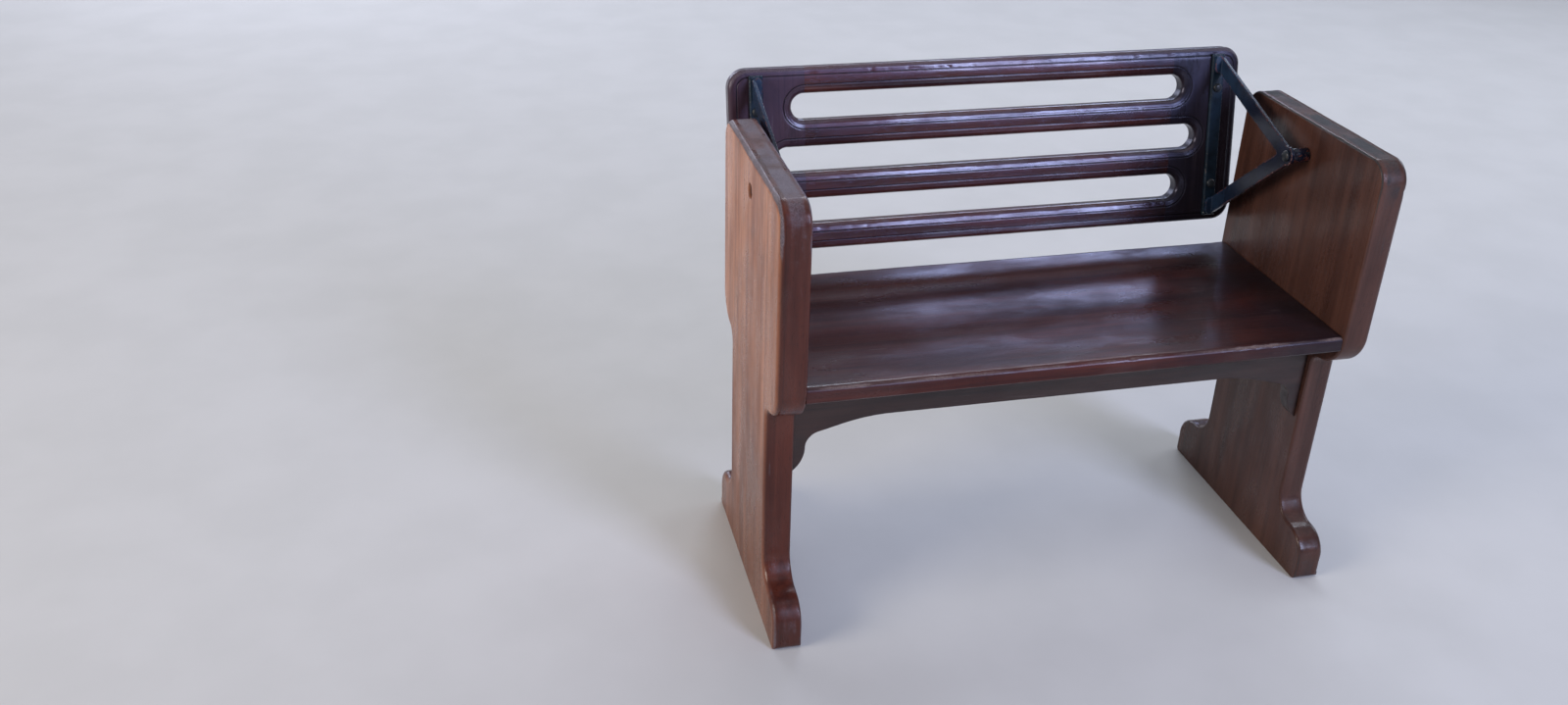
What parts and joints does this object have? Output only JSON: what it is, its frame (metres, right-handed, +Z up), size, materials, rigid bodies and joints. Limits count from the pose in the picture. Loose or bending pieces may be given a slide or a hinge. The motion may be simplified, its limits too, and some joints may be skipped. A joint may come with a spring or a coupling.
{
  "type": "reversible coach bench seat",
  "caption": "Two-person wooden bench seat with a slatted back that swings over on steel arms, so it can face either way.",
  "frame": {"origin": "on the floor, at the middle of the aisle end board's foot", "axes": "+X from the aisle to the wall along the bench, +Y from the front of the seat to its back, +Z up"},
  "size_m": [0.923, 0.4759, 0.7628],
  "materials": {
    "end_wood": "orange-brown varnished hardwood, worn pale on the top edge",
    "seat_wood": "dark glossy varnish",
    "frame_wood": "dark old varnish",
    "back_wood": "dark red-brown varnish, worn glossy on the rails",
    "arm_steel": "blue-black paint, rusty where it is chipped",
    "bolt_steel": "dull worn steel"
  },
  "bodies": {
    "bench": {"end_board_aisle": "end_wood", "end_board_wall": "end_wood", "seat_board": "seat_wood", "apron_front": "frame_wood", "apron_rear": "frame_wood", "cleat_aisle": "frame_wood", "cleat_wall": "frame_wood", "seat_bearer": "frame_wood", "pivot_bolt_aisle": "bolt_steel", "pivot_nut_aisle": "bolt_steel", "pivot_spacer_aisle": "bolt_steel", "pivot_bolt_wall": "bolt_steel", "pivot_nut_wall": "bolt_steel", "pivot_spacer_wall": "bolt_steel"},
    "back": {"back_stile_aisle": "back_wood", "back_stile_wall": "back_wood", "back_rail_1": "back_wood", "back_rail_2": "back_wood", "back_rail_3": "back_wood", "back_rail_4": "back_wood", "strap_aisle": "arm_steel", "strap_wall": "arm_steel", "arm_aisle": "arm_steel", "arm_wall": "arm_steel", "strap_bolts_aisle": "bolt_steel", "strap_bolts_wall": "bolt_steel"}
  },
  "joints": [
    {"name": "back_flip", "type": "hinge", "parent": "bench", "child": "back", "pos_m": [0.4395, 0, 0.664], "axis": [1, 0, 0], "range_deg": [0, 202.26]}
  ]
}
